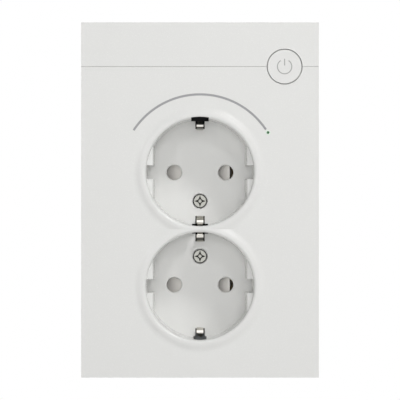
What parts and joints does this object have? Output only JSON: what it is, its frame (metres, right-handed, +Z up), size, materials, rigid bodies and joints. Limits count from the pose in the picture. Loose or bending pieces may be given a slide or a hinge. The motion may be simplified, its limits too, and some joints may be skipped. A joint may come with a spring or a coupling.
{
  "type": "double smart wall socket",
  "caption": "Double wall socket-outlet with round recesses, side flats, earth clips, child shutters, a flush push button, an arc light guide and a relay module.",
  "frame": {"origin": "on the wall plane, midway between the two wall-box screw slots", "axes": "+X to the right as seen from the room, +Y into the wall, +Z up; the front faces -Y"},
  "size_m": [0.086, 0.0456, 0.1285],
  "materials": {
    "cover_white": "satin",
    "button_white": "satin",
    "light_guide": "satin",
    "status_pipe": "gloss",
    "shutter_grey": "satin",
    "tray_plastic": "matte",
    "base_plastic": "matte",
    "shell_dark": "matte",
    "zinc_steel": "satin",
    "nickel_brass": "satin",
    "brass": "satin",
    "spring_steel": "satin",
    "release_grey": "matte",
    "board_green": "satin",
    "relay_black": "satin",
    "coil_copper": "satin",
    "iron": "satin",
    "ferrite": "matte",
    "capacitor_yellow": "satin",
    "can_sleeve": "gloss",
    "varistor_blue": "satin",
    "resistor_body": "satin",
    "plunger_white": "satin",
    "lamp_resin": "gloss"
  },
  "bodies": {
    "housing": {"arc_light_guide": "light_guide", "base_housing": "base_plastic", "bulk_capacitors": "can_sleeve", "circuit_board": "board_green", "cover_screws": "zinc_steel", "earth_strap": "nickel_brass", "earth_terminal_cage": "brass", "earth_terminal_spring": "spring_steel", "electronics_lid": "shell_dark", "electronics_rear_shell": "shell_dark", "frame_rivets": "zinc_steel", "front_cover": "cover_white", "fuse_resistor": "resistor_body", "guide_leds": "lamp_resin", "inner_earth_clips": "nickel_brass", "lid_screws": "zinc_steel", "line_contact_bar": "brass", "line_terminal_cage": "brass", "line_terminal_spring": "spring_steel", "mounting_frame": "zinc_steel", "neutral_contact_bar": "brass", "neutral_terminal_cage": "brass", "neutral_terminal_spring": "spring_steel", "power_chips": "relay_black", "radio_board": "board_green", "radio_shield": "iron", "relay_base": "relay_black", "relay_case": "relay_black", "relay_coil": "coil_copper", "relay_fixed_contact": "iron", "relay_yoke": "iron", "safety_capacitor": "capacitor_yellow", "shell_screws": "zinc_steel", "shutter_spring_lower": "spring_steel", "shutter_spring_upper": "spring_steel", "shutter_tray": "tray_plastic", "status_led": "lamp_resin", "status_light_pipe": "status_pipe", "strap_rivets": "zinc_steel", "switched_contact": "brass", "tact_switch_body": "relay_black", "threaded_inserts": "brass", "top_cap": "cover_white", "transformer_core": "ferrite", "transformer_winding": "coil_copper", "varistor": "varistor_blue"},
    "upper_shutter": {"shutter_upper": "shutter_grey"},
    "lower_shutter": {"shutter_lower": "shutter_grey"},
    "push_button": {"power_button": "button_white", "tact_switch_plunger": "plunger_white"},
    "line_release": {"line_release_button": "release_grey"},
    "earth_release": {"earth_release_button": "release_grey"},
    "neutral_release": {"neutral_release_button": "release_grey"},
    "armature": {"relay_armature": "iron", "relay_moving_contact": "spring_steel"}
  },
  "joints": [
    {"name": "upper_shutter_slide", "type": "slide", "parent": "housing", "child": "upper_shutter", "axis": [1, 0, 0], "range_m": [0, 0.0061], "stiffness_N_per_m": 60, "deforming": ["shutter_spring_upper"]},
    {"name": "lower_shutter_slide", "type": "slide", "parent": "housing", "child": "lower_shutter", "axis": [1, 0, 0], "range_m": [0, 0.0061], "stiffness_N_per_m": 60, "deforming": ["shutter_spring_lower"]},
    {"name": "push_button_press", "type": "slide", "parent": "housing", "child": "push_button", "axis": [0, 1, 0], "range_m": [0, 0.00045], "stiffness_N_per_m": 800},
    {"name": "line_release_press", "type": "slide", "parent": "housing", "child": "line_release", "axis": [0, -1, 0], "range_m": [0, 0.0015], "stiffness_N_per_m": 1500, "deforming": ["line_terminal_spring"]},
    {"name": "earth_release_press", "type": "slide", "parent": "housing", "child": "earth_release", "axis": [0, -1, 0], "range_m": [0, 0.0015], "stiffness_N_per_m": 1500, "deforming": ["earth_terminal_spring"]},
    {"name": "neutral_release_press", "type": "slide", "parent": "housing", "child": "neutral_release", "axis": [0, -1, 0], "range_m": [0, 0.0015], "stiffness_N_per_m": 1500, "deforming": ["neutral_terminal_spring"]},
    {"name": "armature_hinge", "type": "hinge", "parent": "housing", "child": "armature", "pos_m": [-0.0133, -0.0169, 0.06235], "axis": [0, 0, -1], "range_deg": [0, 3.3], "stiffness_Nm_per_rad": 0.02}
  ]
}
